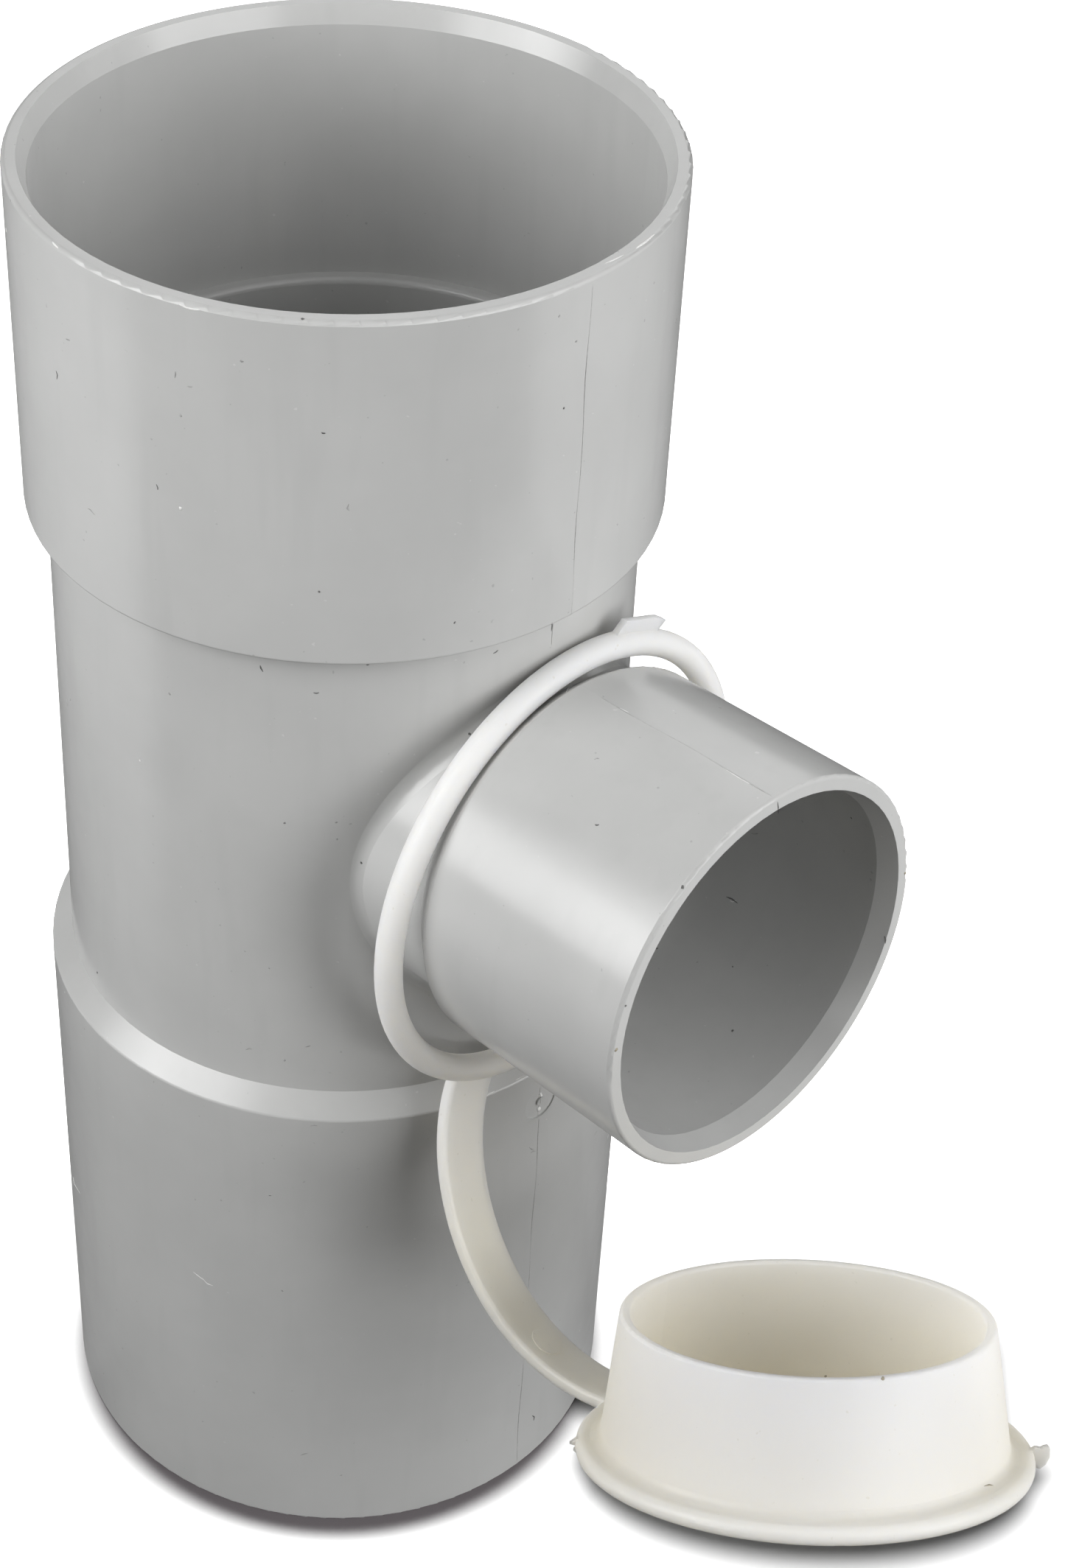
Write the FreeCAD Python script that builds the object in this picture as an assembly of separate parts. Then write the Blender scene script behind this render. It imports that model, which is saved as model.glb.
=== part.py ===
# Downpipe rainwater diverter for an 80 mm downpipe with a 50 mm side outlet.
# Two mouldings: the grey pipe body, and the white closure, which is a ring, a strap and
# a plug moulded in one piece. The ring hangs loose on the neck of the outlet.
# Millimetres. Z runs up the downpipe and X points out of the side outlet.
# The origin is the centre of the lower sleeve's foot.
import FreeCAD, Part
import math
import os
from FreeCAD import Vector

# Downpipe, its upper socket and the middle pipe below it
total_height = 215.0
pipe_bore_r = 40.15            # bore that takes an 80 mm downpipe
socket_length = 49.0
socket_stop_height = 8.5       # from the socket's lower edge to the stop inside it
socket_rim_wall = 3.05
socket_low_wall = 2.85         # the socket narrows a little, as it left its mould
lead_in = 1.15                 # how much the socket's mouth widens
lead_in_depth = 2.6
middle_length = 75.8
stop_step = 2.15               # how far the middle pipe stands in past the socket's bore
mid_wall = 2.0
rim_round = 0.6
foot_round = 0.5

# Long lower sleeve and its bevelled shoulder
sleeve_foot_wall = 2.25
sleeve_top_wall = 2.85
ledge_drop = 2.9               # height of the bevel

# Collar inside that catches the water which runs down the wall
gutter_below_ledge = 1.2
gutter_floor_thickness = 3.0
standpipe_height = 52.0
gutter_width = 6.8             # between the standpipe's foot and the wall
standpipe_wall = 2.4
standpipe_draft = 0.5

# Side outlet for a 50 mm pipe
outlet_above_ledge = 36.6
outlet_rise_deg = 2.5          # an 87.5 degree branch: its axis climbs outwards
outlet_length = 33.8           # from its shoulder to its mouth
neck_length = 6.6              # from the middle pipe to the shoulder
outlet_rim_wall = 2.85
outlet_back_wall = 2.55
outlet_bore_r = 25.15
outlet_lead_in = 0.85
outlet_lead_in_depth = 3.0
outlet_wall_at_stop = 2.8
outlet_stop_step = 1.95        # how far the neck stands in past the outlet's bore
neck_wall = 2.0
neck_fillet = 2.3
shoulder_round = 0.8
shoulder_slope = 3.2           # length of the cone from the neck up to the shoulder
outlet_rim_round = 0.5

# Gate mark where the grey material entered the mould
gate_below_ledge = 9.5
gate_r = 3.0
gate_depth = 0.35
gate_stub_r = 0.7

# Ring of the closure
ring_slack = 4.4               # how much wider it is than the outlet that it passes over
ring_section_r = 1.88
ring_gap = 1.35               # between the ring and the top of the neck
ring_seat = 4.65               # from the shoulder of the outlet, along the neck
ring_aside = 1.4
ring_turn_deg = 2.6
ring_lean_deg = 2.5

# Plug of the closure, with its flange, as it hangs in front of the body
plug_ahead = 27.3              # from the outlet's mouth
plug_aside = 15.0
plug_below = 52.6              # below the height of the outlet at the downpipe's axis
plug_tilt_deg = 29.2
plug_tilt_heading_deg = 138.5
flange_overhang = 3.1          # beyond the foot of the plug
flange_thickness = 2.4
plug_wedge = 0.7               # how much its foot is wider than the outlet's mouth
plug_tip_gap = 0.85            # between its tip and the outlet's bore
plug_height = 18.3             # from the middle of the flange to the tip
plug_wall_foot = 1.9
plug_wall_tip = 1.4
plug_floor = 2.0
plug_fillet = 1.4
plug_tip_round = 0.45

# Strap between the ring and the flange
strap_width = 8.8
strap_thickness = 1.8
strap_edge_round = 0.5
strap_root_deg = -28.1         # where it leaves the ring, from the ring's lowest point
strap_end_deg = 2.3            # where it meets the flange, from the side next to the body
strap_root_pull = 17.3
strap_end_pull = 23.5
strap_overlap = 1.8            # how far it runs into the flange
strap_stations = 9

ejector_mark_r = 2.35          # round mark of an ejector pin on the strap
ejector_mark_height = 0.2
ejector_mark_at = 0.75         # share of the strap's run, from the ring

# Stubs left where the white material was snapped off its runners
stub_thickness = 1.0
ring_stub_deg = 158.0          # from the ring's lowest point
ring_stub_length = 9.2
ring_stub_height = 1.6         # above the ring
flange_stub_deg = 219.5        # from the side of the flange next to the body
flange_stub_length = 2.0
flange_tear_deg = 40.0
flange_tear_length = 0.75


def rounded_wire(points):
    """Closed wire through (x, z, rounding) corners in the XZ plane."""
    count = len(points)
    corners = [Vector(x, 0, z) for x, z, _ in points]
    edges = []
    starts = []
    ends = []
    arcs = []
    for i, (_, _, radius) in enumerate(points):
        here = corners[i]
        before = (corners[i - 1] - here).normalize()
        after = (corners[(i + 1) % count] - here).normalize()
        if radius == 0:
            starts.append(here)
            ends.append(here)
            arcs.append(None)
            continue
        half = before.getAngle(after) / 2
        reach = radius / math.tan(half)
        bisector = (before + after).normalize()
        middle = here + bisector * (radius / math.sin(half) - radius)
        starts.append(here + before * reach)
        ends.append(here + after * reach)
        arcs.append(middle)
    for i in range(count):
        if arcs[i] is not None:
            edges.append(Part.Arc(starts[i], arcs[i], ends[i]).toShape())
        following = starts[(i + 1) % count]
        if (following - ends[i]).Length > 1e-6:
            edges.append(Part.makeLine(ends[i], following))
    return Part.Wire(edges)


def turned(points):
    """Solid of revolution about Z of a closed (radius, height, rounding) outline."""
    face = Part.Face(rounded_wire(points))
    return face.revolve(Vector(0, 0, 0), Vector(0, 0, 1), 360)


def frame(origin, along, toward):
    """Placement whose local Z is along and whose local X leans toward a direction."""
    z_axis = Vector(along).normalize()
    x_axis = Vector(toward) - z_axis * Vector(toward).dot(z_axis)
    x_axis.normalize()
    y_axis = z_axis.cross(x_axis)
    matrix = FreeCAD.Matrix(
        x_axis.x, y_axis.x, z_axis.x, origin.x,
        x_axis.y, y_axis.y, z_axis.y, origin.y,
        x_axis.z, y_axis.z, z_axis.z, origin.z,
        0, 0, 0, 1)
    return FreeCAD.Placement(matrix)


def placed(shape, placement):
    """Copy of a shape moved to a placement."""
    copy = shape.copy()
    copy.Placement = placement.multiply(copy.Placement)
    return copy


# Heights and radii of the body
socket_low_z = total_height - socket_length
stop_z = socket_low_z + socket_stop_height
ledge_z = socket_low_z - middle_length
gutter_floor_z = ledge_z - gutter_below_ledge
gate_z = ledge_z - gate_below_ledge
mid_bore_r = pipe_bore_r - stop_step
mid_outer_r = mid_bore_r + mid_wall
socket_rim_r = pipe_bore_r + socket_rim_wall
socket_low_r = pipe_bore_r + socket_low_wall
sleeve_foot_r = pipe_bore_r + sleeve_foot_wall
sleeve_top_r = pipe_bore_r + sleeve_top_wall
standpipe_foot_r = mid_bore_r - gutter_width

# Place, radii and directions of the outlet
outlet_z = ledge_z + outlet_above_ledge
outlet_shoulder = mid_outer_r + neck_length
outlet_face = outlet_shoulder + outlet_length
outlet_rim_r = outlet_bore_r + outlet_rim_wall
outlet_back_r = outlet_bore_r + outlet_back_wall
outlet_mouth_r = outlet_bore_r + outlet_lead_in
neck_bore_r = outlet_bore_r - outlet_stop_step
neck_r = neck_bore_r + neck_wall
outlet_rise = math.radians(outlet_rise_deg)
outlet_axis = Vector(math.cos(outlet_rise), 0, math.sin(outlet_rise))
outlet_side = Vector(0, 1, 0)
outlet_up = Vector(-math.sin(outlet_rise), 0, math.cos(outlet_rise))
outlet_origin = Vector(0, 0, outlet_z)
outlet_frame = frame(outlet_origin, outlet_axis, outlet_up)


def distance_to_outlet_axis(point):
    """Distance from a point to the outlet's axis."""
    reach = point - outlet_origin
    return (reach - outlet_axis * reach.dot(outlet_axis)).Length


def neck_seam(shape):
    """Edges where the outside of the neck meets the outside of the middle pipe."""
    found = []
    for edge in shape.Edges:
        samples = edge.discretize(5)
        on_pipe = all(abs(math.hypot(p.x, p.y) - mid_outer_r) < 0.01 for p in samples)
        on_neck = all(abs(distance_to_outlet_axis(p) - neck_r) < 0.01 for p in samples)
        if on_pipe and on_neck:
            found.append(edge)
    return found


def body_outside():
    """Outside of the body as a full solid."""
    pipe = turned([
        (0, 0, 0),
        (sleeve_foot_r, 0, foot_round),
        (sleeve_top_r, ledge_z - ledge_drop, foot_round),
        (mid_outer_r, ledge_z, 0),
        (mid_outer_r, socket_low_z, 0),
        (socket_low_r, socket_low_z, foot_round),
        (socket_rim_r, total_height, rim_round),
        (0, total_height, 0)])
    neck = turned([
        (0, mid_bore_r / 2, 0),
        (neck_r, mid_bore_r / 2, 0),
        (neck_r, outlet_shoulder, 0),
        (0, outlet_shoulder, 0)])
    joined = pipe.fuse(placed(neck, outlet_frame)).removeSplitter()
    joined = joined.makeFillet(neck_fillet, neck_seam(joined))
    slope_start = outlet_shoulder - shoulder_slope
    outlet = turned([
        (0, slope_start, 0),
        (neck_r, slope_start, 0),
        (outlet_back_r, outlet_shoulder, shoulder_round),
        (outlet_rim_r, outlet_face, outlet_rim_round),
        (0, outlet_face, 0)])
    return joined.fuse(placed(outlet, outlet_frame)).removeSplitter()


def body_inside():
    """Space inside the downpipe, from the gutter's floor up and from its underside down."""
    mouth_r = pipe_bore_r + lead_in
    underside_z = gutter_floor_z - gutter_floor_thickness
    upper = turned([
        (0, gutter_floor_z, 0),
        (mid_bore_r, gutter_floor_z, 1.0),
        (mid_bore_r, stop_z, 0.8),
        (pipe_bore_r, stop_z, 0),
        (pipe_bore_r, total_height - lead_in_depth, 0),
        (mouth_r, total_height, 0),
        (mouth_r, total_height + 1, 0),
        (0, total_height + 1, 0)])
    lower = turned([
        (0, -1, 0),
        (pipe_bore_r, -1, 0),
        (pipe_bore_r, underside_z, 0),
        (0, underside_z, 0)])
    return upper, lower


def outlet_inside():
    """Space inside the outlet, which opens into the middle pipe above the gutter."""
    stop = outlet_shoulder + outlet_wall_at_stop
    space = turned([
        (0, mid_bore_r * 0.6, 0),
        (neck_bore_r, mid_bore_r * 0.6, 0),
        (neck_bore_r, stop, 0.5),
        (outlet_bore_r, stop, 0),
        (outlet_bore_r, outlet_face - outlet_lead_in_depth, 0),
        (outlet_mouth_r, outlet_face, 0),
        (outlet_mouth_r, outlet_face + 1, 0),
        (0, outlet_face + 1, 0)])
    return placed(space, outlet_frame)


def standpipe():
    """Tube that stands on the gutter's floor: the overflow back into the downpipe."""
    top = gutter_floor_z + standpipe_height
    foot = gutter_floor_z - gutter_floor_thickness / 2
    top_r = standpipe_foot_r - standpipe_draft
    return turned([
        (standpipe_foot_r - standpipe_wall, foot, 0),
        (standpipe_foot_r, foot, 0),
        (top_r, top, 0.8),
        (top_r - standpipe_wall, top, 0.8)])


def body():
    """The grey moulding."""
    shape = body_outside()
    upper, lower = body_inside()
    shape = shape.cut(upper).cut(lower).cut(outlet_inside())
    floor_bore = Part.makeCylinder(
        standpipe_foot_r - standpipe_wall,
        gutter_floor_thickness,
        Vector(0, 0, gutter_floor_z - gutter_floor_thickness))
    shape = shape.cut(floor_bore).fuse(standpipe())
    recess = Part.makeCylinder(gate_r, gate_depth * 3, Vector(0, 0, 0))
    stub = Part.makeCylinder(gate_stub_r, gate_depth * 3, Vector(0, 0, 0))
    gate_place = frame(Vector(sleeve_top_r - gate_depth, 0, gate_z), Vector(1, 0, 0), Vector(0, 0, 1))
    shape = shape.cut(placed(recess.cut(stub), gate_place))
    return shape.removeSplitter()


# Size of the ring, and where it hangs
ring_r = outlet_rim_r + ring_slack
ring_turn = math.radians(ring_turn_deg)
ring_lean = math.radians(ring_lean_deg)
ring_side = outlet_side * math.cos(ring_turn) - outlet_axis * math.sin(ring_turn)
ring_up = outlet_up * math.cos(ring_lean) + outlet_axis * math.sin(ring_lean)
ring_drop = ring_r * math.cos(ring_lean) - neck_r - ring_gap - ring_section_r
ring_reach = outlet_shoulder - ring_seat
ring_centre = (outlet_origin + outlet_axis * ring_reach + outlet_side * ring_aside
               - outlet_up * ring_drop)

# Radii of the plug, and where it hangs
plug_foot_r = outlet_mouth_r + plug_wedge
plug_tip_r = outlet_bore_r - plug_tip_gap
flange_r = plug_foot_r + flange_overhang
plug_centre = Vector(outlet_face + plug_ahead, -plug_aside, outlet_z - plug_below)
plug_tilt = math.radians(plug_tilt_deg)
plug_heading = math.radians(plug_tilt_heading_deg)
plug_axis = Vector(
    math.sin(plug_tilt) * math.cos(plug_heading),
    math.sin(plug_tilt) * math.sin(plug_heading),
    math.cos(plug_tilt))
plug_frame = frame(plug_centre, plug_axis, Vector(-1, 0, 0))


def plug():
    """Flange and tapered cup, open at the tip."""
    low = -flange_thickness / 2
    high = flange_thickness / 2
    floor = low + plug_floor
    edge_round = flange_thickness / 2 - 0.05
    shape = turned([
        (0, low, 0),
        (flange_r, low, edge_round),
        (flange_r, high, edge_round),
        (plug_foot_r, high, plug_fillet),
        (plug_tip_r, plug_height, plug_tip_round),
        (plug_tip_r - plug_wall_tip, plug_height, plug_tip_round),
        (plug_foot_r - plug_wall_foot, floor, plug_fillet),
        (0, floor, 0)])
    return placed(shape, plug_frame)


def ring():
    """Ring of round section."""
    shape = Part.makeTorus(ring_r, ring_section_r)
    return placed(shape, frame(ring_centre, ring_side.cross(ring_up), ring_up))


def bezier(ends, t):
    """Point and direction on a cubic curve of four poles."""
    a, b, c, d = ends
    s = 1 - t
    point = a * s**3 + b * (3 * s**2 * t) + c * (3 * s * t**2) + d * t**3
    slope = (b - a) * (3 * s**2) + (c - b) * (6 * s * t) + (d - c) * (3 * t**2)
    return point, slope.normalize()


def strap_section(point, direction, across):
    """Flat section with rounded edges, square to the strap's run."""
    half_width = strap_width / 2
    half_thickness = strap_thickness / 2
    wire = rounded_wire([
        (-half_width, -half_thickness, strap_edge_round),
        (half_width, -half_thickness, strap_edge_round),
        (half_width, half_thickness, strap_edge_round),
        (-half_width, half_thickness, strap_edge_round)])
    flat = across.cross(direction).normalize()
    x_axis = direction.cross(flat) * -1
    matrix = FreeCAD.Matrix(
        x_axis.x, direction.x, flat.x, point.x,
        x_axis.y, direction.y, flat.y, point.y,
        x_axis.z, direction.z, flat.z, point.z,
        0, 0, 0, 1)
    return placed(wire, FreeCAD.Placement(matrix))


def ring_spoke(angle_deg):
    """Outward and sideways directions at an angle from the ring's lowest point."""
    angle = math.radians(angle_deg)
    outward = ring_side * math.sin(angle) - ring_up * math.cos(angle)
    sideways = ring_side * math.cos(angle) + ring_up * math.sin(angle)
    return outward, sideways


def strap():
    """Strap bent from the ring's plane into the flange's plane, with its ejector mark."""
    outward, root_across = ring_spoke(strap_root_deg)
    start = ring_centre + outward * ring_r
    end_angle = math.radians(strap_end_deg)
    local = Vector(math.cos(end_angle), math.sin(end_angle), 0)
    end_outward = plug_frame.Rotation.multVec(local)
    end = plug_centre + end_outward * (flange_r - strap_overlap)
    end_across = plug_axis.cross(end_outward * -1)
    if end_across.dot(root_across) < 0:
        end_across = end_across * -1
    poles = (start, start + outward * strap_root_pull, end + end_outward * strap_end_pull, end)
    sections = []
    for i in range(strap_stations):
        t = i / (strap_stations - 1)
        point, direction = bezier(poles, t)
        across = root_across * (1 - t) + end_across * t
        sections.append(strap_section(point, direction, across))
    band = Part.makeLoft(sections, True, False)
    point, direction = bezier(poles, ejector_mark_at)
    across = root_across * (1 - ejector_mark_at) + end_across * ejector_mark_at
    upward = across.cross(direction).normalize()
    if upward.z < 0:
        upward = upward * -1
    mark = Part.makeCylinder(ejector_mark_r, strap_thickness / 2 + ejector_mark_height, point, upward)
    return band.fuse(mark)


def flat_stub(outline, place):
    """Thin plate of an (outward, sideways) outline, half its thickness on each side."""
    corners = [Vector(x, y, -stub_thickness / 2) for x, y in outline]
    face = Part.Face(Part.makePolygon(corners + corners[:1]))
    return placed(face.extrude(Vector(0, 0, stub_thickness)), place)


def ring_stub():
    """Flake along the top of the ring, torn to a point at one end."""
    outward, sideways = ring_spoke(ring_stub_deg)
    half = ring_stub_length / 2
    top = ring_section_r + ring_stub_height
    outline = [
        (0, -half * 0.92),
        (ring_section_r * 0.75, -half),
        (top, -half * 0.72),
        (top + 0.1, half * 0.56),
        (top, half * 0.9),
        (top - 0.4, half * 1.2),
        (ring_section_r * 0.8, half * 0.95),
        (0, half * 0.92)]
    return flat_stub(outline, frame(ring_centre + outward * ring_r, outward.cross(sideways * -1), outward))


def flange_stub(angle_deg, outline):
    """Flake on the rim of the flange, square to it."""
    angle = math.radians(angle_deg)
    spoke = plug_frame.Rotation.multVec(Vector(math.cos(angle), math.sin(angle), 0))
    return flat_stub(outline, frame(plug_centre + spoke * flange_r, spoke.cross(plug_axis), spoke))


def stubs():
    """One flake on the ring and one at each side of the flange."""
    half = flange_thickness / 2
    length = flange_stub_length
    snapped = [
        (-0.6, half - 0.25),
        (0.1, half + 0.2),
        (length * 0.4, half + 0.05),
        (length * 0.6, half + 0.3),
        (length * 0.85, half + 0.4),
        (length, half + 0.1),
        (length, 0.2),
        (length * 0.75, -half + 0.4),
        (length * 0.4, -half - 0.25),
        (0.1, -half),
        (-0.6, -half + 0.25)]
    length = flange_tear_length
    tear = [
        (-0.6, half - 0.25),
        (-0.1, half - 0.35),
        (length, 0.2),
        (0.05, 0.0),
        (-0.15, -0.3),
        (length * 0.35, -0.7),
        (-0.1, -half + 0.2),
        (-0.6, -half + 0.3)]
    return [ring_stub(), flange_stub(flange_stub_deg, snapped), flange_stub(flange_tear_deg, tear)]


def closure():
    """The white moulding: ring, strap, plug and the stubs on them."""
    shape = ring().fuse([strap(), plug()] + stubs())
    return shape.removeSplitter()


nodes = {
    "body": body(),
    "closure": closure(),
}

os.makedirs("parts", exist_ok=True)
for name, shape in nodes.items():
    shape.exportStep(os.path.join("parts", name + ".step"))
    print(name, len(shape.Solids), shape.isValid(), round(shape.Volume), shape.BoundBox)
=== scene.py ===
import math
import random

import bpy
from mathutils import Matrix, Vector
from mathutils.bvhtree import BVHTree


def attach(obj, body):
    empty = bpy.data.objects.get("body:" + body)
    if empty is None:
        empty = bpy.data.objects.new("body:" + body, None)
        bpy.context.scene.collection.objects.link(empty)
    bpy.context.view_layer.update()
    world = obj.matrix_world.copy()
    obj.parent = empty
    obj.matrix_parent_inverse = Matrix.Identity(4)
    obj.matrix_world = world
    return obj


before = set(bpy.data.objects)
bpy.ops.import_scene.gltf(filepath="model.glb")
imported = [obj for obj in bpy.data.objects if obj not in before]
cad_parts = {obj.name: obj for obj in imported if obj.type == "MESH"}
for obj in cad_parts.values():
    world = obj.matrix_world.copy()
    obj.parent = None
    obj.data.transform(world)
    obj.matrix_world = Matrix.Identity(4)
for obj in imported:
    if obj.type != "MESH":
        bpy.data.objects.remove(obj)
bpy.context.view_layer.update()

MM = 0.001

# Camera, in the part's frame

CAMERA_PLACE = Vector((0.27144, -0.24398, 0.40375))
CAMERA_RIGHT = Vector((0.67744, 0.73532, 0.01935))
CAMERA_UP = Vector((-0.46829, 0.41084, 0.78225))
LENS_MM = 74.06
SENSOR_MM = 36.0
SHIFT_X = 0.0764
PHOTO_WIDTH = 1445
PHOTO_HEIGHT = 2128

VIEW_BACK = CAMERA_RIGHT.cross(CAMERA_UP).normalized()
VIEW_RIGHT = CAMERA_UP.cross(VIEW_BACK).normalized()
VIEW_UP = VIEW_BACK.cross(VIEW_RIGHT)

# Surface lookup

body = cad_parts["body"]
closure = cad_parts["closure"]
bpy.context.view_layer.update()


def tree_of(obj):
    """Search tree of a node's mesh, in the part's frame."""
    mesh = obj.data
    points = [obj.matrix_world @ vertex.co for vertex in mesh.vertices]
    return BVHTree.FromPolygons(points, [tuple(polygon.vertices) for polygon in mesh.polygons])


TREES = {"body": tree_of(body), "closure": tree_of(closure)}


def hit(tree, start, toward):
    """First point and outward normal that a ray meets, or None."""
    point, normal, _, _ = tree.ray_cast(start, toward)
    if point is None:
        return None
    if normal.dot(toward) > 0:
        normal = -normal
    return point, normal


def seen_at(spot, on="body"):
    """Surface point and normal under a place in the photograph's frame."""
    reach = LENS_MM / SENSOR_MM * PHOTO_HEIGHT
    across = (spot[0] - PHOTO_WIDTH / 2 + SHIFT_X * PHOTO_HEIGHT) / reach
    upward = (PHOTO_HEIGHT / 2 - spot[1]) / reach
    toward = (VIEW_RIGHT * across + VIEW_UP * upward - VIEW_BACK).normalized()
    return hit(TREES[on], CAMERA_PLACE, toward)


# Mesh makers

SINK = 0.02 * MM
SHORTEST = 1e-9
BEAD_SHOULDER_OUT = 0.55
BEAD_SHOULDER_UP = 0.75
BEAD_CORNERS = 6
TAPER_START = 0.35
TAPER_END = 0.3
TAPER_POWER = 0.6
BLOB_SIDES = 9
BLOB_SHOULDER_OUT = 0.72
BLOB_SHOULDER_UP = 0.65
BLOB_RAGGED = (0.72, 1.15)
BLOB_FOOT = 0.03 * MM
STEEP = 0.9


class Shape:
    """Points and faces of one piece while it is built."""

    def __init__(self):
        self.points = []
        self.faces = []

    def add(self, points, faces):
        base = len(self.points)
        self.points.extend(points)
        self.faces.extend([tuple(base + i for i in face) for face in faces])

    def piece(self, name, material):
        mesh = bpy.data.meshes.new(name)
        mesh.from_pydata([tuple(p) for p in self.points], [], self.faces)
        mesh.validate()
        for polygon in mesh.polygons:
            polygon.use_smooth = True
        mesh.materials.append(material)
        obj = bpy.data.objects.new(name, mesh)
        bpy.context.scene.collection.objects.link(obj)
        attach(obj, "root")


def bead(shape, line, width, height):
    """Closed low bead along a line of surface points and normals. Width and height are one per point."""
    points = []
    count = len(line)
    for i, (place, normal) in enumerate(line):
        along = line[min(i + 1, count - 1)][0] - line[max(i - 1, 0)][0]
        if along.length < SHORTEST:
            return
        side = along.normalized().cross(normal).normalized() * width[i] / 2
        shoulder = normal * height[i] * BEAD_SHOULDER_UP
        points.append(place - side - normal * SINK)
        points.append(place - side * BEAD_SHOULDER_OUT + shoulder)
        points.append(place + normal * height[i])
        points.append(place + side * BEAD_SHOULDER_OUT + shoulder)
        points.append(place + side - normal * SINK)
        points.append(place - normal * SINK * 2)
    faces = [tuple(range(BEAD_CORNERS))[::-1]]
    for i in range(count - 1):
        this, following = i * BEAD_CORNERS, (i + 1) * BEAD_CORNERS
        for k in range(BEAD_CORNERS):
            n = (k + 1) % BEAD_CORNERS
            faces.append((this + k, this + n, following + n, following + k))
    faces.append(tuple((count - 1) * BEAD_CORNERS + k for k in range(BEAD_CORNERS)))
    shape.add(points, faces)


def stroke(shape, spots, width, height, steps, on="body"):
    """Bead along a line through places in the photograph's frame, tapered at both ends."""
    places = []
    for a, b in zip(spots, spots[1:]):
        for s in range(steps):
            t = s / steps
            places.append((a[0] + (b[0] - a[0]) * t, a[1] + (b[1] - a[1]) * t))
    places.append(spots[-1])
    line = [found for found in (seen_at(place, on) for place in places) if found]
    if len(line) < 3:
        return
    span = len(line) - TAPER_END
    ends = [math.sin(math.pi * (i + TAPER_START) / span) ** TAPER_POWER for i in range(len(line))]
    bead(shape, line, [width * e for e in ends], [height * e for e in ends])


def blob(shape, place, normal, size, height, seed, stretch, turn):
    """Closed lumpy fleck that sits on the surface."""
    dice = random.Random(seed)
    guide = Vector((0, 0, 1)) if abs(normal.z) < STEEP else Vector((1, 0, 0))
    side = normal.cross(guide).normalized()
    upward = side.cross(normal)
    points = [place - normal * BLOB_FOOT]
    for lift, spread in ((-SINK, 1.0), (height * BLOB_SHOULDER_UP, BLOB_SHOULDER_OUT)):
        for k in range(BLOB_SIDES):
            angle = 2 * math.pi * k / BLOB_SIDES
            reach = size / 2 * spread * dice.uniform(*BLOB_RAGGED)
            u = reach * math.cos(angle) * stretch
            v = reach * math.sin(angle)
            x = u * math.cos(turn) - v * math.sin(turn)
            y = u * math.sin(turn) + v * math.cos(turn)
            points.append(place + side * x + upward * y + normal * lift)
    points.append(place + normal * height)
    top = len(points) - 1
    faces = []
    for k in range(BLOB_SIDES):
        low, low_next = 1 + k, 1 + (k + 1) % BLOB_SIDES
        high, high_next = low + BLOB_SIDES, low_next + BLOB_SIDES
        faces.append((0, low_next, low))
        faces.append((low, low_next, high_next, high))
        faces.append((high, high_next, top))
    shape.add(points, faces)


def strokes(shape, lines, width, height, steps=4, on="body"):
    """Stroke along each line of places in the photograph's frame."""
    for spots in lines.values():
        stroke(shape, spots, width, height, steps, on)


def specks(shape, places, height, first_seed, stretch, turn=None, on="body"):
    """Fleck at each place in the photograph's frame, turned by its number where no turn is given."""
    for n, (x, y, size) in enumerate(places.values()):
        found = seen_at((x, y), on)
        if found:
            blob(shape, *found, size * MM, height, first_seed + n, stretch, n if turn is None else turn)


# Node helpers

BUMP_DETAIL = 2


def new_material(name, base, roughness):
    """Principled material with its tree and shader."""
    material = bpy.data.materials.new(name)
    material.use_nodes = True
    tree = material.node_tree
    shader = tree.nodes["Principled BSDF"]
    shader.inputs["Base Color"].default_value = (*base, 1)
    shader.inputs["Roughness"].default_value = roughness
    return material, tree, shader


def surface_place(tree):
    """Position in the object's own metres."""
    return tree.nodes.new("ShaderNodeTexCoord").outputs["Object"]


def noise(tree, vector, scale, detail, roughness=0.55):
    """Noise texture, its scale in waves per metre."""
    node = tree.nodes.new("ShaderNodeTexNoise")
    node.inputs["Scale"].default_value = scale
    node.inputs["Detail"].default_value = detail
    node.inputs["Roughness"].default_value = roughness
    tree.links.new(vector, node.inputs["Vector"])
    return node.outputs["Fac"]


def between(tree, value, low, high, out_low, out_high):
    """Value spread from one range to another, held at its ends."""
    node = tree.nodes.new("ShaderNodeMapRange")
    node.inputs["From Min"].default_value = low
    node.inputs["From Max"].default_value = high
    node.inputs["To Min"].default_value = out_low
    node.inputs["To Max"].default_value = out_high
    tree.links.new(value, node.inputs["Value"])
    return node.outputs["Result"]


def patches(tree, vector, scale, detail, low, high, most=1.0):
    """Noise as a share of colour: none at its low level, the most at its high one."""
    return between(tree, noise(tree, vector, scale, detail), low, high, 0, most)


def maths(tree, kind, a, b):
    """Result of the kind of sum named, from two numbers or outputs."""
    node = tree.nodes.new("ShaderNodeMath")
    node.operation = kind
    for socket, value in zip(node.inputs, (a, b)):
        if isinstance(value, (int, float)):
            socket.default_value = value
        else:
            tree.links.new(value, socket)
    return node.outputs["Value"]


def vector_maths(tree, kind, vector, other=None):
    """Vector node of the kind named, its second vector a constant."""
    node = tree.nodes.new("ShaderNodeVectorMath")
    node.operation = kind
    tree.links.new(vector, node.inputs[0])
    if other is not None:
        node.inputs[1].default_value = other
    return node.outputs


def mix(tree, share, a, b):
    """Colour between a and b by a share."""
    node = tree.nodes.new("ShaderNodeMix")
    node.data_type = "RGBA"
    tree.links.new(share, node.inputs["Factor"])
    for socket, value in ((node.inputs["A"], a), (node.inputs["B"], b)):
        if isinstance(value, tuple):
            socket.default_value = (*value, 1)
        else:
            tree.links.new(value, socket)
    return node.outputs["Result"]


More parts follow.
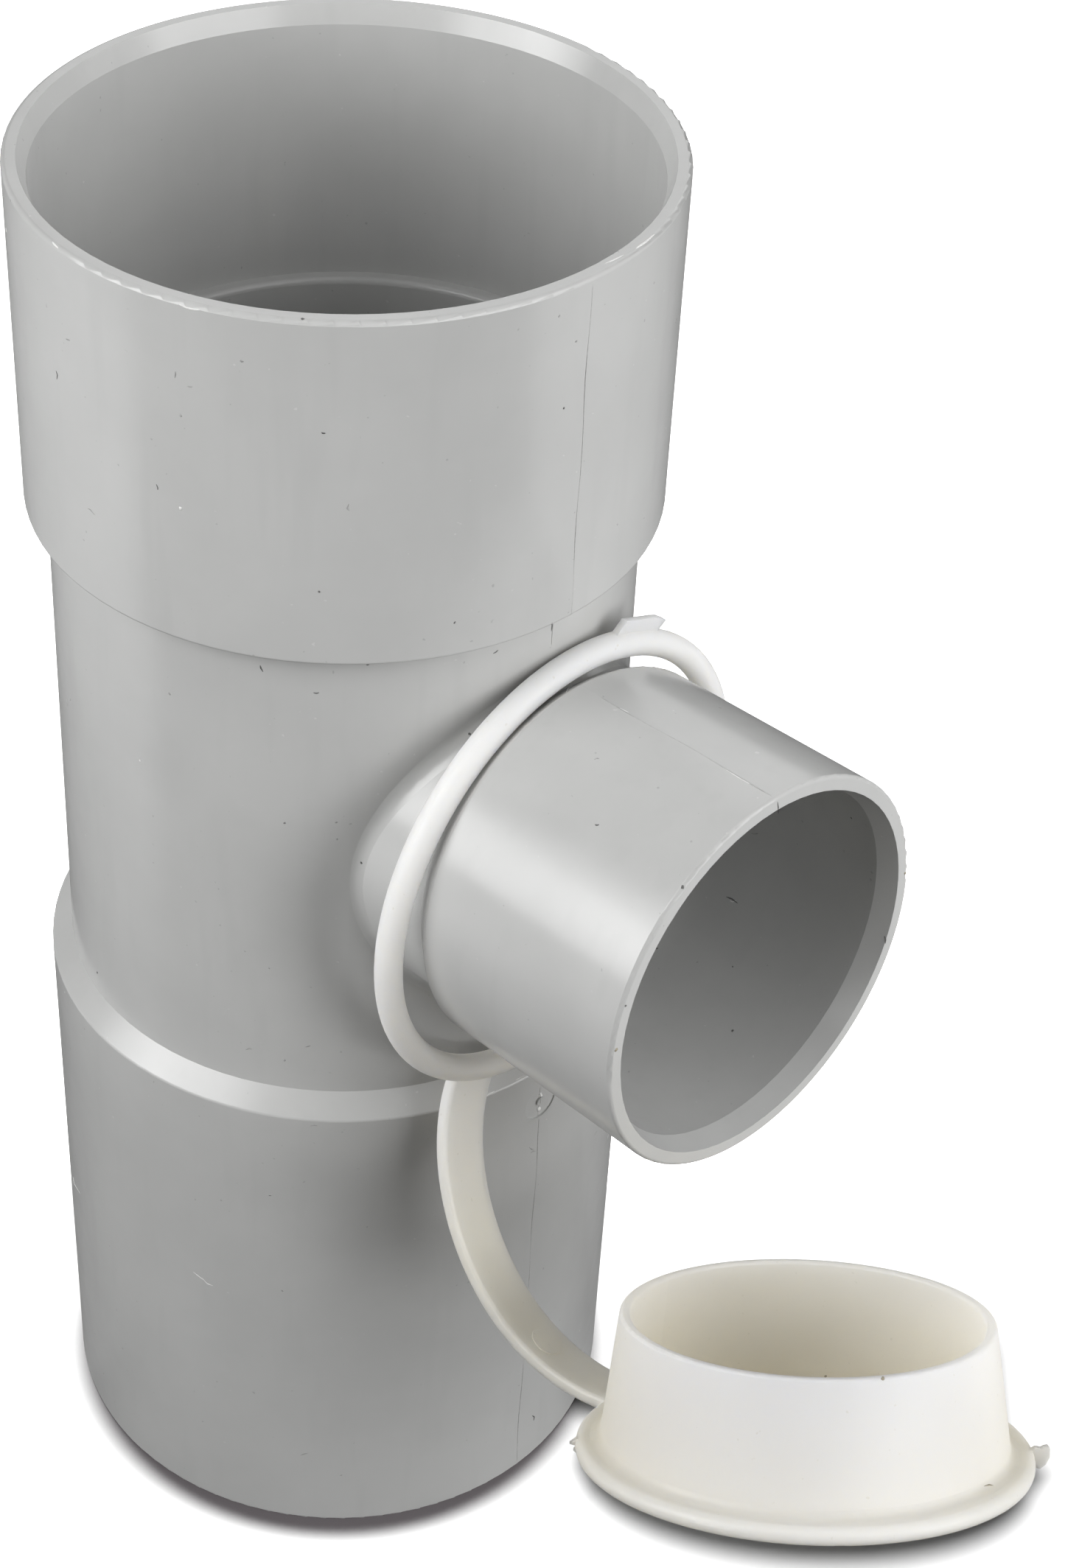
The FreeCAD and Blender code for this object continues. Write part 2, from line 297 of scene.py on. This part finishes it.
def shade(colour, share):
    """Colour made darker or paler by a share."""
    return tuple(c * share for c in colour)


def stretched(tree, vector, scale):
    """Position stretched along the axes."""
    node = tree.nodes.new("ShaderNodeMapping")
    node.inputs["Scale"].default_value = scale
    tree.links.new(vector, node.inputs["Vector"])
    return node.outputs["Vector"]


def bump(tree, shader, place, waves):
    """Chain of bumps, each of one noise scale and depth."""
    last = None
    for scale, depth in waves:
        node = tree.nodes.new("ShaderNodeBump")
        node.inputs["Strength"].default_value = 1.0
        node.inputs["Distance"].default_value = depth
        tree.links.new(noise(tree, place, scale, BUMP_DETAIL), node.inputs["Height"])
        if last is not None:
            tree.links.new(last, node.inputs["Normal"])
        last = node.outputs["Normal"]
    tree.links.new(last, shader.inputs["Normal"])


# The two plastics. A bump is a noise scale with its depth.

NOISE_MIDDLE = (0.3, 0.7)

GREY = (0.462, 0.464, 0.458)
GREY_ROUGHNESS = 0.235
GREY_GLOSSIEST = GREY_ROUGHNESS - 0.025
GREY_DULLEST = GREY_ROUGHNESS + 0.035
GREY_CLOUD_DARK = 0.965
GREY_CLOUD_PALE = 1.035
GREY_STREAK = 0.93
GREY_STREAK_STRETCH = (1, 1, 0.12)
GREY_DUST = 0.55
GREY_FLECK = 1.5
GREY_FLECK_STRETCH = (1, 1, 1.3)
GREY_BUMPS = ((55, 0.05 * MM), (520, 0.0035 * MM), (3600, 0.0008 * MM))

WHITE = (0.73, 0.68, 0.572)
WHITE_CLOUD_DARK = 0.975
WHITE_CLOUD_PALE = 1.02
WHITE_STAIN = (0.57, 0.53, 0.43)
WHITE_ROUGHNESS = 0.5
WHITE_GLOSSIEST = WHITE_ROUGHNESS - 0.06
WHITE_DULLEST = WHITE_ROUGHNESS + 0.06
WHITE_BUMPS = ((70, 0.06 * MM), (700, 0.004 * MM), (3800, 0.001 * MM))
RING_WHITE = (0.74, 0.728, 0.705)
RING_HEIGHTS = (75 * MM, 100 * MM)
MILK_WEIGHT = 0.85
MILK_RADIUS = (0.0045, 0.0042, 0.0035)
MILK_SCALE = 2.2


def grey_pvc():
    """Semi-gloss moulded PVC: faint clouding, flow streaks, fine specks, soft orange peel."""
    material, tree, shader = new_material("grey_pvc", GREY, GREY_ROUGHNESS)
    place = surface_place(tree)
    cloud = patches(tree, place, scale=38, detail=4, low=0.35, high=0.65)
    colour = mix(tree, cloud, shade(GREY, GREY_CLOUD_DARK), shade(GREY, GREY_CLOUD_PALE))
    upright = stretched(tree, place, GREY_STREAK_STRETCH)
    streak = patches(tree, upright, scale=260, detail=2, low=0.55, high=0.75, most=0.35)
    colour = mix(tree, streak, colour, shade(GREY, GREY_STREAK))
    dust = patches(tree, place, scale=1100, detail=1, low=0.775, high=0.81, most=0.45)
    colour = mix(tree, dust, colour, shade(GREY, GREY_DUST))
    flat = stretched(tree, place, GREY_FLECK_STRETCH)
    fleck = patches(tree, flat, scale=900, detail=1, low=0.785, high=0.82, most=0.3)
    colour = mix(tree, fleck, colour, shade(GREY, GREY_FLECK))
    tree.links.new(colour, shader.inputs["Base Color"])
    wear = noise(tree, place, scale=120, detail=5, roughness=0.6)
    gloss = between(tree, wear, *NOISE_MIDDLE, GREY_GLOSSIEST, GREY_DULLEST)
    tree.links.new(gloss, shader.inputs["Roughness"])
    bump(tree, shader, place, GREY_BUMPS)
    return material


def milky_pe():
    """Milky polyethylene that light goes into, warm at the plug and neutral at the ring above it."""
    material, tree, shader = new_material("milky_pe", WHITE, WHITE_ROUGHNESS)
    place = surface_place(tree)
    cloud = patches(tree, place, scale=60, detail=4, low=0.35, high=0.65)
    colour = mix(tree, cloud, shade(WHITE, WHITE_CLOUD_DARK), shade(WHITE, WHITE_CLOUD_PALE))
    split = tree.nodes.new("ShaderNodeSeparateXYZ")
    tree.links.new(place, split.inputs["Vector"])
    ring = between(tree, split.outputs["Z"], *RING_HEIGHTS, 0, 1)
    colour = mix(tree, ring, colour, RING_WHITE)
    stain = patches(tree, place, scale=1300, detail=1, low=0.75, high=0.79, most=0.35)
    colour = mix(tree, stain, colour, WHITE_STAIN)
    tree.links.new(colour, shader.inputs["Base Color"])
    wear = noise(tree, place, scale=150, detail=4)
    gloss = between(tree, wear, *NOISE_MIDDLE, WHITE_GLOSSIEST, WHITE_DULLEST)
    tree.links.new(gloss, shader.inputs["Roughness"])
    shader.inputs["Subsurface Weight"].default_value = MILK_WEIGHT
    shader.inputs["Subsurface Radius"].default_value = MILK_RADIUS
    shader.inputs["Subsurface Scale"].default_value = MILK_SCALE
    bump(tree, shader, place, WHITE_BUMPS)
    return material


for node, finish in ((body, grey_pvc()), (closure, milky_pe())):
    node.data.materials.clear()
    node.data.materials.append(finish)

# Finishes of the small marks: darker and paler colour of their grain, roughness

MARK_FINISHES = {
    # The two grime finishes colour grime specks and also the ticks, which are painted shade of small dents
    "dark_grime_and_dent_shade": ((0.07, 0.07, 0.068), (0.16, 0.16, 0.155), 0.6),
    "faint_grime_and_dent_shade": ((0.27, 0.27, 0.265), (0.35, 0.35, 0.345), 0.5),
    "rubbed_plastic_and_painted_glint": ((0.66, 0.66, 0.65), (0.76, 0.76, 0.75), 0.5),
    "seam_plastic": ((0.33, 0.33, 0.325), (0.41, 0.41, 0.405), 0.4),
    "dry_earth": ((0.22, 0.19, 0.13), (0.36, 0.32, 0.24), 0.8),
}


def mark_finish(name, low, high, roughness):
    """Grainy finish of a small mark."""
    material, tree, shader = new_material(name, low, roughness)
    grain = patches(tree, surface_place(tree), scale=1800, detail=2, low=0.35, high=0.65)
    tree.links.new(mix(tree, grain, low, high), shader.inputs["Base Color"])
    return material


finishes = {name: mark_finish(name, *values) for name, values in MARK_FINISHES.items()}

# Parting bead where the mould halves met, in the plane of the outlet

RIM_Z = 215 * MM
SOCKET_SEAM_FOOT_Z = 160 * MM
SLEEVE_SEAM_TOP_Z = 86 * MM
OUTLET_FACE_X = 78.4 * MM
OUTLET_SEAM_ROOT_X = 49 * MM
EDGE_GAP = 1 * MM
FAR = 0.3
SEAM_STEP = 0.8 * MM
SEAM_WIDTH = 0.2 * MM
SEAM_HEIGHT = 0.045 * MM
SEAM_NARROWEST = 0.45
SEAM_WAVES = 4
SEAM_RATES = (0.05, 0.5)
SEAM_PHASES = (0, 6.28)
SEAM_MEAN = 0.62
SEAM_SWING = 0.9
SEAM_FAINTEST = 0.12
SEAM_END = 0.1
SEAM_DRIFT = 0.12 * MM
SEAM_DRIFT_RATE = 0.23


def seam(shape, start, end, toward, seed):
    """Parting bead under a row of rays, fading in and out along its length."""
    dice = random.Random(seed)
    waves = [(dice.uniform(*SEAM_RATES), dice.uniform(*SEAM_PHASES)) for _ in range(SEAM_WAVES)]
    count = round((end - start).length / SEAM_STEP)
    rays = [start.lerp(end, i / count) for i in range(count + 1)]
    line = [found for found in (hit(TREES["body"], ray, toward) for ray in rays) if found]
    strength = []
    for i in range(len(line)):
        wave = sum(math.sin(rate * i + phase) for rate, phase in waves) / SEAM_WAVES
        strength.append(min(max(SEAM_MEAN + SEAM_SWING * wave, SEAM_FAINTEST), 1.0))
    strength[0] = strength[-1] = SEAM_END
    drift = [(point + Vector((0, SEAM_DRIFT * math.sin(i * SEAM_DRIFT_RATE + seed), 0)), normal)
             for i, (point, normal) in enumerate(line)]
    widths = [SEAM_WIDTH * (SEAM_NARROWEST + (1 - SEAM_NARROWEST) * s) for s in strength]
    bead(shape, drift, widths, [SEAM_HEIGHT * s for s in strength])


# Start and end of each row of rays, and where it looks
SEAMS = (
    ((FAR, 0, RIM_Z - EDGE_GAP), (FAR, 0, SOCKET_SEAM_FOOT_Z), (-1, 0, 0)),
    ((FAR, 0, SLEEVE_SEAM_TOP_Z), (FAR, 0, EDGE_GAP), (-1, 0, 0)),
    ((-FAR, 0, RIM_Z - EDGE_GAP), (-FAR, 0, EDGE_GAP), (1, 0, 0)),
    ((OUTLET_FACE_X, 0, FAR), (OUTLET_SEAM_ROOT_X, 0, FAR), (0, 0, -1)),
    ((OUTLET_FACE_X - EDGE_GAP, 0, -FAR), (OUTLET_SEAM_ROOT_X, 0, -FAR), (0, 0, 1)),
)
seams = Shape()
for n, (start, end, toward) in enumerate(SEAMS, 1):
    seam(seams, Vector(start), Vector(end), Vector(toward), n)
seams.piece("parting_bead", finishes["seam_plastic"])

# Nicks, scratches and specks by place in the photograph's frame. A speck has its size in mm.

# Painted shade: dark strokes where small dents lie in shade, with no dent in the surface
DARK_TICKS = {
    "socket_left": ((76, 503), (78, 509), (77, 515)),
    "socket_low_left": ((212, 657), (214, 662), (214, 665)),
    "under_socket": ((353, 903), (354, 907), (357, 912)),
    "under_socket_right": ((425, 940), (429, 941), (433, 940)),
    "beside_flash": ((669, 887), (673, 885), (676, 882)),
    "seam_end": ((749, 845), (749, 850), (748, 857)),
    "sleeve_low": ((722, 1921), (725, 1923), (724, 1928)),
    "outlet_side": ((807, 1119), (810, 1120), (813, 1119)),
    "outlet_crack": ((1055, 1088), (1056, 1096), (1056, 1104)),
    "socket_middle": ((436, 587), (438, 588), (442, 588)),
    "outlet_inside": ((985, 1217), (993, 1220), (1001, 1226)),
    "outlet_inside_rim": ((1200, 1270), (1202, 1276), (1201, 1281)),
}
# Painted shade of small dents, fainter
FAINT_TICKS = {
    "socket_upper": ((89, 460), (92, 461), (95, 462)),
    "socket_dash": ((254, 524), (257, 525), (261, 525)),
    "socket_upright": ((238, 504), (238, 508), (237, 513)),
    "socket_hook": ((119, 690), (123, 692), (127, 697), (129, 699)),
    "socket_hook_end": ((473, 684), (471, 690), (474, 693)),
    "middle_cluster": ((333, 1425), (338, 1423), (342, 1424)),
    "middle_dash": ((414, 1421), (418, 1420), (421, 1419)),
    "sleeve_dash": ((421, 1528), (426, 1527), (431, 1528)),
    "sleeve_smear": ((408, 1975), (413, 1973), (418, 1972)),
    "outlet_upper": ((806, 1031), (810, 1029), (813, 1030)),
    "outlet_inside_upper": ((1019, 1131), (1024, 1132), (1029, 1131)),
    "seam_cluster_a": ((718, 1557), (722, 1560), (725, 1559)),
    "seam_cluster_b": ((720, 1565), (723, 1562), (727, 1563)),
}
DARK_SPECKS = {
    "rim_front": (411, 433, 0.35),
    "socket_low_middle": (433, 803, 0.3),
    "above_flash": (617, 845, 0.3),
    "middle_a": (386, 1117, 0.3),
    "middle_b": (490, 1171, 0.35),
    "middle_c": (132, 1320, 0.35),
    "middle_d": (499, 902, 0.3),
    "neck_side": (637, 996, 0.4),
    "outlet_low": (926, 1204, 0.45),
    "outlet_lower": (891, 1287, 0.4),
    "outlet_lowest": (849, 1365, 0.35),
    "inside_right": (1155, 1110, 0.35),
    "inside_low": (994, 1399, 0.35),
    "inside_middle": (994, 1312, 0.25),
    "socket_right_low": (765, 554, 0.3),
}
FAINT_SPECKS = {
    "socket_ring": (328, 490, 0.4),
    "socket_dot": (245, 564, 0.4),
    "socket_right_a": (759, 429, 0.35),
    "socket_right_b": (782, 463, 0.35),
    "middle_pale": (230, 941, 0.45),
    "middle_e": (457, 1139, 0.35),
    "middle_f": (456, 1116, 0.35),
    "middle_g": (365, 1314, 0.3),
    "middle_h": (386, 1439, 0.4),
    "sleeve_a": (366, 1622, 0.35),
    "sleeve_b": (383, 1752, 0.35),
    "sleeve_c": (498, 1665, 0.3),
    "sleeve_d": (463, 2002, 0.35),
    "outlet_inside_side": (1183, 1184, 0.4),
}
PALE_SCRATCHES = {
    "outlet_top": ((981, 1042), (1005, 1057), (1031, 1071)),
    "outlet_neck": ((841, 961), (847, 964), (853, 967)),
    "sleeve_edge": ((99, 1597), (101, 1607), (109, 1620)),
    "sleeve_scuff": ((262, 1726), (272, 1734), (278, 1738)),
    "sleeve_scuff_low": ((274, 1734), (281, 1742), (289, 1745)),
    "by_the_gate": ((700, 1466), (706, 1462), (712, 1460)),
    "by_the_strap": ((659, 1489), (664, 1484), (671, 1481)),
    "under_the_ring": ((768, 940), (771, 934), (777, 930)),
    "inside_fleck": ((990, 1222), (994, 1224), (999, 1222)),
}
PALE_SPECKS = {
    # Painted highlight: a pale fleck where a glint shows on the socket
    "socket_glint": (245, 690, 0.5),
    "middle_bright": (190, 1032, 0.35),
    "gate_drop": (731, 1505, 0.9),
    "gate_pip": (733, 1487, 1.0),
}
RIM_CHIPS = {
    "left_chip": ((243, 413), (253, 418), (262, 420), (271, 421)),
    "far_left_chip": ((71, 328), (74, 332), (79, 337)),
    "right_chip": ((820, 358), (832, 353), (846, 346)),
    "right_chip_end": ((862, 338), (876, 328), (888, 318)),
}
EARTH_SPECKS = {
    "outlet_rim": (836, 1425, 0.6),
    "outlet_rim_side": (1228, 1185, 0.45),
}

dark = Shape()
strokes(dark, DARK_TICKS, width=0.26 * MM, height=0.05 * MM)
specks(dark, DARK_SPECKS, height=0.07 * MM, first_seed=0, stretch=1.4)
dark.piece("dark_specks", finishes["dark_grime_and_dent_shade"])

dull = Shape()
strokes(dull, FAINT_TICKS, width=0.26 * MM, height=0.04 * MM)
specks(dull, FAINT_SPECKS, height=0.05 * MM, first_seed=40, stretch=1.3)

pale = Shape()
strokes(pale, PALE_SCRATCHES, width=0.16 * MM, height=0.04 * MM, steps=5)
specks(pale, PALE_SPECKS, height=0.12 * MM, first_seed=80, stretch=1.2, turn=1.2)
strokes(pale, RIM_CHIPS, width=0.3 * MM, height=0.05 * MM)

soil = Shape()
specks(soil, EARTH_SPECKS, height=0.08 * MM, first_seed=120, stretch=1.2)
soil.piece("dry_earth_specks", finishes["dry_earth"])

# The same handling marks on the sides that the photograph doesn't show: angles, sizes in mm

HIDDEN_MARKS = 70
HIDDEN_SEED = 7
HIDDEN_ANGLES = (105, 345)
HIDDEN_HEIGHTS = (4, 210)
HIDDEN_SIZES = (0.25, 0.5)
HIDDEN_TURNS = (0, 3.1)
HIDDEN_LIFT = 0.05 * MM
HIDDEN_FIRST_SEED = 200
DULL_SHARE = 0.75
DULL_STRETCHES = (1, 3.5)
PALE_STRETCHES = (2, 6)
PALE_SIZE = 0.7

dice = random.Random(HIDDEN_SEED)
for n in range(HIDDEN_MARKS):
    angle = math.radians(dice.uniform(*HIDDEN_ANGLES))
    height = dice.uniform(*HIDDEN_HEIGHTS) * MM
    outward = Vector((math.sin(angle), -math.cos(angle), 0))
    found = hit(TREES["body"], outward * FAR + Vector((0, 0, height)), -outward)
    kind = dice.random()
    size = dice.uniform(*HIDDEN_SIZES) * MM
    turn = dice.uniform(*HIDDEN_TURNS)
    if found is None:
        continue
    if kind < DULL_SHARE:
        stretch = dice.uniform(*DULL_STRETCHES)
        blob(dull, *found, size, HIDDEN_LIFT, HIDDEN_FIRST_SEED + n, stretch, turn)
    else:
        stretch = dice.uniform(*PALE_STRETCHES)
        blob(pale, *found, size * PALE_SIZE, HIDDEN_LIFT, HIDDEN_FIRST_SEED + n, stretch, turn)
dull.piece("faint_specks", finishes["faint_grime_and_dent_shade"])
pale.piece("rubbed_marks_and_painted_glint", finishes["rubbed_plastic_and_painted_glint"])

# Marks on the closure

CLOSURE_TICKS = {
    "flange": ((1335, 2017), (1342, 2015), (1348, 2016)),
}
CLOSURE_SPECKS = {
    "strap": (553, 1286, 0.35),
    "ring": (637, 995, 0.35),
    "plug_rim_a": (1120, 1868, 0.4),
    "plug_rim_b": (1198, 1871, 0.5),
}

stain = Shape()
strokes(stain, CLOSURE_TICKS, width=0.24 * MM, height=0.04 * MM, on="closure")
specks(stain, CLOSURE_SPECKS, height=0.06 * MM, first_seed=300, stretch=1.3, on="closure")
stain.piece("closure_specks", finishes["dry_earth"])

# Floor: white to the eye, with a dark edge at the foot and room for the shadow of the plug

HALF_FLOOR = 4.0
FLOOR_SEEN = (0.92, 0.92, 0.92)
FLOOR_BOUNCE = (0.05, 0.05, 0.05)
FLOOR_ROUGHNESS = 0.9
FLOOR_GLOW = (0.03, 1.0)

# Place under the plug where the floor doesn't glow, and from where to where the glow sets in
PLUG_SHADOW_PLACE = (0.075, 0.04, 0)
PLUG_SHADOW_EDGE = (0.05, 0.066)

# Brightness in reflections, by direction from the foot and by distance from it
AHEAD = (0.682, -0.731, 0)
MIRROR_FRONT = 0.12
MIRROR_FRONT_EDGE = (0.2, 0.6)
MIRROR_SIDES = 0.75
MIRROR_NEAR_EDGE = (0.34, 0.46)
MIRROR_FAR_EDGE = (-0.95, 0.35)
MIRROR_FOOT = 0.1
MIRROR_FOOT_EDGE = (0.1, 0.24)
MIRROR_GLOW_EDGE = (0.15, 0.35)

# Contact shadow: how far it looks, the way it leans, its range of openness, where it ends
CONTACT_REACH = 6.5 * MM
CONTACT_LEAN = (-0.609, 0.548, 0.574)
CONTACT_RANGE = (0.45, 0.82)
CONTACT_COLOUR = (0.07, 0.064, 0.067)
CONTACT_SAMPLES = 48
CONTACT_END = (0.055, 0.056)


def mirror_share(tree, place, distance):
    """Brightness of the floor in reflections: bright at the sides, dark in front and near the foot."""
    heading = vector_maths(tree, "NORMALIZE", place)["Vector"]
    ahead = vector_maths(tree, "DOT_PRODUCT", heading, AHEAD)["Value"]
    near = between(tree, ahead, *MIRROR_NEAR_EDGE, MIRROR_SIDES, 0)
    sides = maths(tree, "MULTIPLY", near, between(tree, ahead, *MIRROR_FAR_EDGE, 0, 1))
    front = between(tree, ahead, *MIRROR_FRONT_EDGE, 0, MIRROR_FRONT)
    by_foot = between(tree, distance, *MIRROR_FOOT_EDGE, MIRROR_FOOT, 1)
    return maths(tree, "MULTIPLY", maths(tree, "MAXIMUM", sides, front), by_foot)


def contact_shadow(tree):
    """Diffuse floor that darkens where the foot stands close."""
    contact = tree.nodes.new("ShaderNodeAmbientOcclusion")
    contact.samples = CONTACT_SAMPLES
    contact.inputs["Distance"].default_value = CONTACT_REACH
    lean = tree.nodes.new("ShaderNodeCombineXYZ")
    for socket, part in zip(lean.inputs, CONTACT_LEAN):
        socket.default_value = part
    tree.links.new(lean.outputs["Vector"], contact.inputs["Normal"])
    edge = between(tree, contact.outputs["AO"], *CONTACT_RANGE, 0, 1)
    foot = tree.nodes.new("ShaderNodeBsdfDiffuse")
    tree.links.new(mix(tree, edge, CONTACT_COLOUR, FLOOR_SEEN), foot.inputs["Color"])
    return foot.outputs["BSDF"]


def floor_white():
    """Floor for the eye, for reflections and for bounced light, each with its own brightness."""
    material, tree, shader = new_material("floor_white", FLOOR_SEEN, FLOOR_ROUGHNESS)
    path = tree.nodes.new("ShaderNodeLightPath").outputs
    place = surface_place(tree)
    distance = vector_maths(tree, "LENGTH", place)["Value"]

    mirrored = maths(tree, "MULTIPLY", path["Is Glossy Ray"], mirror_share(tree, place, distance))
    seen = maths(tree, "MAXIMUM", path["Is Camera Ray"], mirrored)
    shader.inputs["Specular IOR Level"].default_value = 0.0
    tree.links.new(mix(tree, seen, FLOOR_BOUNCE, FLOOR_SEEN), shader.inputs["Base Color"])

    mirror_glow = maths(tree, "MULTIPLY", mirrored, between(tree, distance, *MIRROR_GLOW_EDGE, *FLOOR_GLOW))
    from_shadow = vector_maths(tree, "DISTANCE", place, PLUG_SHADOW_PLACE)["Value"]
    eye_glow = maths(tree, "MULTIPLY", path["Is Camera Ray"],
                     between(tree, from_shadow, *PLUG_SHADOW_EDGE, *FLOOR_GLOW))
    tree.links.new(maths(tree, "MAXIMUM", mirror_glow, eye_glow), shader.inputs["Emission Strength"])
    shader.inputs["Emission Color"].default_value = (1, 1, 1, 1)

    by_foot = maths(tree, "MULTIPLY", between(tree, distance, *CONTACT_END, 1, 0), path["Is Camera Ray"])
    joined = tree.nodes.new("ShaderNodeMixShader")
    for socket, output in zip(joined.inputs, (by_foot, shader.outputs["BSDF"], contact_shadow(tree))):
        tree.links.new(output, socket)
    tree.links.new(joined.outputs["Shader"], tree.nodes["Material Output"].inputs["Surface"])
    return material


corners = [(x * HALF_FLOOR, y * HALF_FLOOR, 0) for x, y in ((-1, -1), (1, -1), (1, 1), (-1, 1))]
mesh = bpy.data.meshes.new("floor")
mesh.from_pydata(corners, [], [(0, 1, 2, 3)])
mesh.materials.append(floor_white())
floor = bpy.data.objects.new("floor", mesh)
bpy.context.scene.collection.objects.link(floor)

# Background: white where the camera sees it, no light of its own

world = bpy.data.worlds.new("studio")
world.use_nodes = True
background = world.node_tree.nodes["Background"]
background.inputs["Color"].default_value = (1, 1, 1, 1)
path = world.node_tree.nodes.new("ShaderNodeLightPath")
world.node_tree.links.new(path.outputs["Is Camera Ray"], background.inputs["Strength"])
bpy.context.scene.world = world

# Soft boxes that light the object alone: azimuth, elevation, side in metres, power, distance

LAMP_AIM = Vector((0.02, 0, 0.12))
LAMPS = {
    "left_high": (-12, 34, 0.4, 1.75, 0.6),
    "left_mid": (-20, 24, 0.4, 1.4, 0.6),
    "left_low": (-33, 18, 0.28, 0.8, 0.6),
    "right_box": (99, 17, 1.0, 13.9, 1.2),
    "right_back": (135, 25, 0.5, 0.95, 0.6),
    "back_top": (214, 34, 0.5, 1.05, 0.6),
    "right_top": (95, 62, 0.4, 0.5, 0.6),
    "overhead": (48, 84, 0.5, 0.25, 0.6),
    "back_fill": (240, 6, 1.0, 4.5, 1.2),
}
WITHOUT_HIGHLIGHT = "back_fill"


def collection_of(name, objects):
    """Collection of objects for light linking."""
    collection = bpy.data.collections.new(name)
    for obj in objects:
        collection.objects.link(obj)
    return collection


def add_lamp(data, place, receivers):
    """Lamp that lights one collection alone."""
    lamp = bpy.data.objects.new(data.name, data)
    bpy.context.scene.collection.objects.link(lamp)
    lamp.location = place
    lamp.light_linking.receiver_collection = receivers
    return lamp


def softbox(name, azimuth, elevation, size, power, distance, receivers):
    """Square area lamp that looks at the object from an angle round it."""
    turn, climb = math.radians(azimuth), math.radians(elevation)
    flat = math.cos(climb)
    toward = Vector((math.sin(turn) * flat, -math.cos(turn) * flat, math.sin(climb)))
    data = bpy.data.lights.new(name, "AREA")
    data.shape = "SQUARE"
    data.size = size
    data.energy = power
    lamp = add_lamp(data, LAMP_AIM + toward * distance, receivers)
    lamp.rotation_euler = toward.to_track_quat("Z", "Y").to_euler()
    lamp.visible_glossy = name != WITHOUT_HIGHLIGHT


solids = [obj for obj in bpy.context.scene.objects if obj.type == "MESH" and obj is not floor]
lit_by_softboxes = collection_of("lit_by_softboxes", solids)
for name, values in LAMPS.items():
    softbox(name, *values, lit_by_softboxes)

# Lamp just above the camera that lights the floor alone, evenly, with the closure's shadow in it

FLASH_POWER = 74.0
FLASH_RISE = 13 * MM
FLASH_RADIUS = 11 * MM

data = bpy.data.lights.new("floor_flash", "POINT")
data.energy = FLASH_POWER
data.shadow_soft_size = FLASH_RADIUS
data.use_nodes = True
falloff = data.node_tree.nodes.new("ShaderNodeLightFalloff")
falloff.inputs["Strength"].default_value = 1.0
emission = data.node_tree.nodes["Emission"]
data.node_tree.links.new(falloff.outputs["Constant"], emission.inputs["Strength"])
flash = add_lamp(data, CAMERA_PLACE + VIEW_UP * FLASH_RISE, collection_of("lit_by_floor_flash", [floor]))
flash.visible_camera = False
flash.light_linking.blocker_collection = collection_of("shades_the_floor", [closure])

# Camera at the photo's angle

camera_data = bpy.data.cameras.new("camera")
camera_data.sensor_width = SENSOR_MM
camera_data.sensor_fit = "AUTO"
camera_data.lens = LENS_MM
camera_data.shift_x = SHIFT_X
camera = bpy.data.objects.new("camera", camera_data)
bpy.context.scene.collection.objects.link(camera)
rows = zip(VIEW_RIGHT, VIEW_UP, VIEW_BACK, CAMERA_PLACE)
camera.matrix_world = Matrix((*rows, (0, 0, 0, 1)))
bpy.context.scene.camera = camera

bpy.context.scene.view_settings.view_transform = "Standard"
